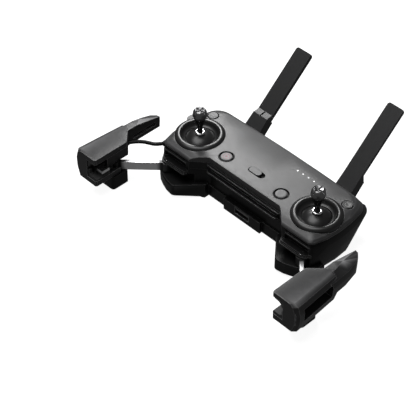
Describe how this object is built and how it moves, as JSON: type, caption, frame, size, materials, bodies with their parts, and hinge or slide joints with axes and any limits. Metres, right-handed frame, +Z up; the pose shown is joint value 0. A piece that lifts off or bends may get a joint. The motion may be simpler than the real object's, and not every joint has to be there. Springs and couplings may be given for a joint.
{
  "type": "radio transmitter controller",
  "caption": "Handheld radio transmitter with sprung thumb sticks, buttons, folding phone clamps on swinging arms and fold-flat paddle aerials.",
  "frame": {"origin": "on the flat underside, on the middle plane between the sticks, below the line through the two round buttons", "axes": "+X to the right stick, +Y to the aerials (away from the user), +Z up out of the top panel"},
  "size_m": [0.2038, 0.1566, 0.0661],
  "materials": {
    "panel_plastic": "fine matte, soft-touch",
    "casing_plastic": "satin black",
    "trim_metal": "satin",
    "screw_steel": "black oxide",
    "soft_rubber": "matte",
    "circuit_board": "solder mask",
    "battery_wrap": "shrink wrap",
    "inner_plastic": "moulded",
    "socket_metal": "bright",
    "lens_white": "translucent",
    "gloss_black": "glossy",
    "cast_metal": "cast",
    "dome_plastic": "satin gloss",
    "stick_black": "satin",
    "collar_chrome": "polished",
    "cap_metal": "anodised gunmetal, knurled",
    "button_grey": "satin",
    "control_plastic": "satin",
    "arm_metal": "satin anodised",
    "pin_steel": "ground",
    "head_plastic": "fine matte",
    "knuckle_plastic": "satin",
    "aerial_plastic": "fine matte",
    "cable_rubber": "matte",
    "plug_metal": "nickel plated"
  },
  "bodies": {
    "root": {"top_panel": "panel_plastic", "mid_casing": "casing_plastic", "lower_casing": "casing_plastic", "front_trim": "trim_metal", "casing_screws": "screw_steel", "rubber_feet": "soft_rubber", "main_board": "circuit_board", "battery": "battery_wrap", "buzzer": "inner_plastic", "usb_a_socket": "socket_metal", "charge_socket": "socket_metal", "status_lenses": "lens_white", "left_bezel": "gloss_black", "right_bezel": "gloss_black", "left_gimbal_frame": "inner_plastic", "right_gimbal_frame": "inner_plastic", "left_button_ring": "gloss_black", "right_button_ring": "gloss_black", "left_arm_pin": "pin_steel", "right_arm_pin": "pin_steel", "left_aerial_pin": "pin_steel", "right_aerial_pin": "pin_steel", "cable_grommet": "cable_rubber", "cable_body_half": "cable_rubber"},
    "left_arm": {"left_arm": "arm_metal"},
    "left_head": {"left_head": "head_plastic", "left_knuckle": "knuckle_plastic", "left_head_pin": "pin_steel", "left_upper_pad": "soft_rubber", "left_lower_pad": "soft_rubber", "cable_head_half": "cable_rubber", "phone_plug": "cable_rubber", "plug_shell": "plug_metal"},
    "left_gimbal_ring": {"left_gimbal_ring": "cast_metal"},
    "left_stick": {"left_dome": "dome_plastic", "left_stick": "stick_black", "left_stick_collar": "collar_chrome", "left_stick_cap": "cap_metal"},
    "left_round_button": {"left_round_button": "button_grey"},
    "left_shoulder_button": {"left_shoulder_button": "casing_plastic"},
    "left_aerial": {"left_aerial": "aerial_plastic"},
    "right_arm": {"right_arm": "arm_metal"},
    "right_head": {"right_head": "head_plastic", "right_knuckle": "knuckle_plastic", "right_head_pin": "pin_steel", "right_upper_pad": "soft_rubber", "right_lower_pad": "soft_rubber"},
    "right_gimbal_ring": {"right_gimbal_ring": "cast_metal"},
    "right_stick": {"right_dome": "dome_plastic", "right_stick": "stick_black", "right_stick_collar": "collar_chrome", "right_stick_cap": "cap_metal"},
    "right_round_button": {"right_round_button": "button_grey"},
    "right_shoulder_button": {"right_shoulder_button": "casing_plastic"},
    "right_aerial": {"right_aerial": "aerial_plastic"},
    "function_button": {"function_button": "control_plastic"},
    "power_button": {"power_button": "control_plastic"},
    "mode_switch": {"mode_switch": "control_plastic"},
    "tilt_dial": {"tilt_dial": "control_plastic"}
  },
  "joints": [
    {"name": "left_arm_fold", "type": "hinge", "parent": "root", "child": "left_arm", "pos_m": [-0.0613, -0.019, 0.015], "axis": [0, 0, 1], "range_deg": [0, 140.9], "deforming": ["cable_body_half", "cable_head_half"]},
    {"name": "left_head_turn", "type": "hinge", "parent": "left_arm", "child": "left_head", "pos_m": [-0.087, -0.044, 0.012], "axis": [0, 0, -1], "range_deg": [0, 51]},
    {"name": "left_stick_forward", "type": "hinge", "parent": "root", "child": "left_gimbal_ring", "pos_m": [-0.053, 0.0031, 0.0215], "axis": [1, 0, 0], "range_deg": [-20, 20], "stiffness_Nm_per_rad": 0.02},
    {"name": "left_stick_sideways", "type": "hinge", "parent": "left_gimbal_ring", "child": "left_stick", "pos_m": [-0.053, 0.0031, 0.0215], "axis": [0, 1, 0], "range_deg": [-20, 20], "stiffness_Nm_per_rad": 0.02},
    {"name": "left_round_button_press", "type": "slide", "parent": "root", "child": "left_round_button", "axis": [0, 0, -1], "range_m": [0, 0.0008], "stiffness_N_per_m": 900},
    {"name": "left_shoulder_press", "type": "slide", "parent": "root", "child": "left_shoulder_button", "axis": [0, -1, 0], "range_m": [0, 0.001], "stiffness_N_per_m": 900},
    {"name": "left_aerial_fold", "type": "hinge", "parent": "root", "child": "left_aerial", "pos_m": [-0.0416, 0.03927, 0.02267], "axis": [0, 0.6691, -0.7431], "range_deg": [0, 90]},
    {"name": "right_arm_fold", "type": "hinge", "parent": "root", "child": "right_arm", "pos_m": [0.0613, -0.019, 0.015], "axis": [0, 0, -1], "range_deg": [0, 140.9]},
    {"name": "right_head_turn", "type": "hinge", "parent": "right_arm", "child": "right_head", "pos_m": [0.087, -0.044, 0.012], "axis": [0, 0, 1], "range_deg": [0, 51]},
    {"name": "right_stick_forward", "type": "hinge", "parent": "root", "child": "right_gimbal_ring", "pos_m": [0.053, 0.0031, 0.0215], "axis": [1, 0, 0], "range_deg": [-20, 20], "stiffness_Nm_per_rad": 0.02},
    {"name": "right_stick_sideways", "type": "hinge", "parent": "right_gimbal_ring", "child": "right_stick", "pos_m": [0.053, 0.0031, 0.0215], "axis": [0, 1, 0], "range_deg": [-20, 20], "stiffness_Nm_per_rad": 0.02},
    {"name": "right_round_button_press", "type": "slide", "parent": "root", "child": "right_round_button", "axis": [0, 0, -1], "range_m": [0, 0.0008], "stiffness_N_per_m": 900},
    {"name": "right_shoulder_press", "type": "slide", "parent": "root", "child": "right_shoulder_button", "axis": [0, -1, 0], "range_m": [0, 0.001], "stiffness_N_per_m": 900},
    {"name": "right_aerial_fold", "type": "hinge", "parent": "root", "child": "right_aerial", "pos_m": [0.0416, 0.03927, 0.02267], "axis": [0, -0.6691, 0.7431], "range_deg": [0, 90]},
    {"name": "function_button_press", "type": "slide", "parent": "root", "child": "function_button", "axis": [0, 0, -1], "range_m": [0, 0.0006], "stiffness_N_per_m": 700},
    {"name": "power_button_press", "type": "slide", "parent": "root", "child": "power_button", "axis": [0, 0, -1], "range_m": [0, 0.0006], "stiffness_N_per_m": 700},
    {"name": "mode_switch_slide", "type": "slide", "parent": "root", "child": "mode_switch", "axis": [1, 0, 0], "range_m": [0, 0.003]},
    {"name": "tilt_dial_turn", "type": "hinge", "parent": "root", "child": "tilt_dial", "pos_m": [-0.071, 0.0155, 0.0267], "axis": [0, 0, 1], "range_deg": [-30, 30], "stiffness_Nm_per_rad": 0.006}
  ],
  "couplings": [
    {"joint": "left_head_turn", "follows": "left_arm_fold", "ratio": 0.3613},
    {"joint": "right_head_turn", "follows": "right_arm_fold", "ratio": 0.3613}
  ]
}
